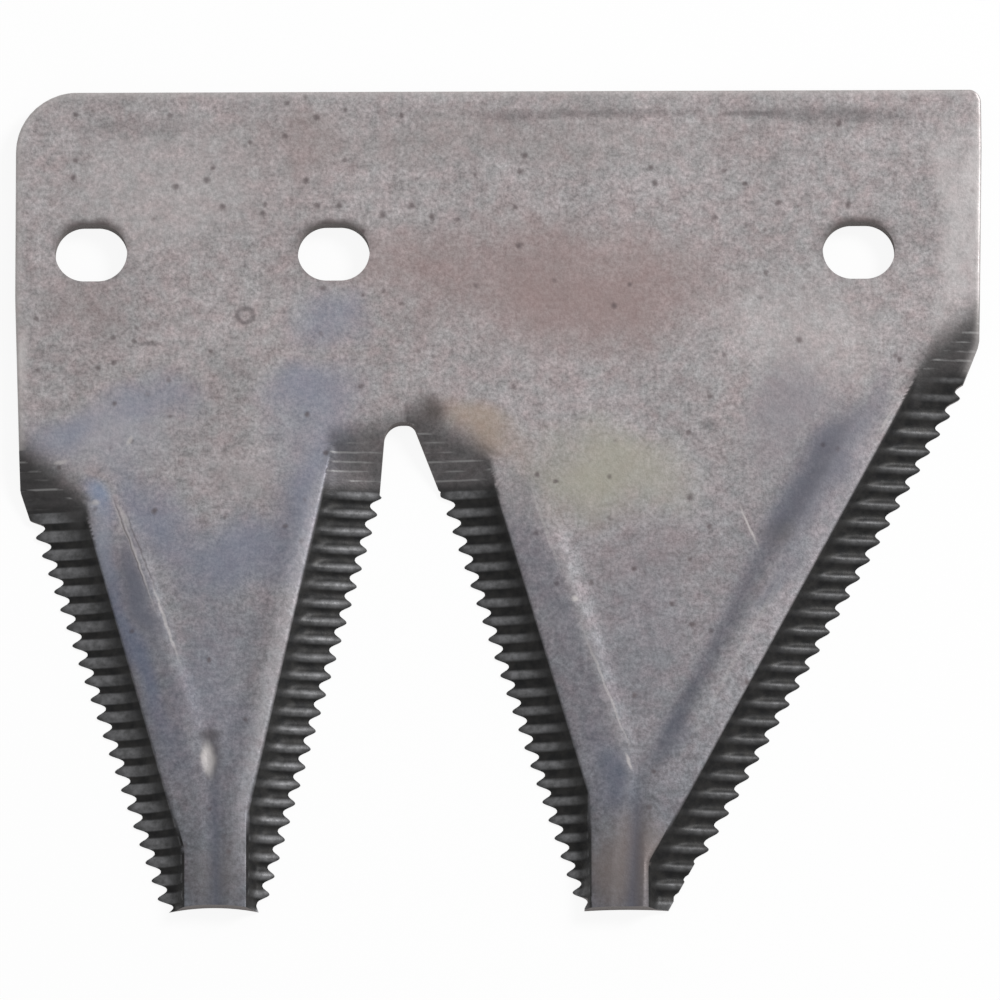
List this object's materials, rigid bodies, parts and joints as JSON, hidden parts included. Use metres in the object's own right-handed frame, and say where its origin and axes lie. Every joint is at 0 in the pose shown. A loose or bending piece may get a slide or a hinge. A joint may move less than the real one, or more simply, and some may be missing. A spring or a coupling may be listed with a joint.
{
  "type": "sickle section",
  "caption": "Double-toothed mower knife section of forged steel with serrated bevelled edges and bolt slots.",
  "frame": {"origin": "under the middle of the overall outline, on the flat underside", "axes": "+X along the straight heel edge from the rounded corner to the square one, +Y from the tooth tips to the heel, +Z out of the bevelled upper face"},
  "size_m": [0.152, 0.1308, 0.0034],
  "materials": {
    "forged_steel": "dull grey heat-treated forged steel, blackened on the serrated bevels"
  },
  "bodies": {
    "root": {"sickle_section": "forged_steel"}
  },
  "joints": []
}
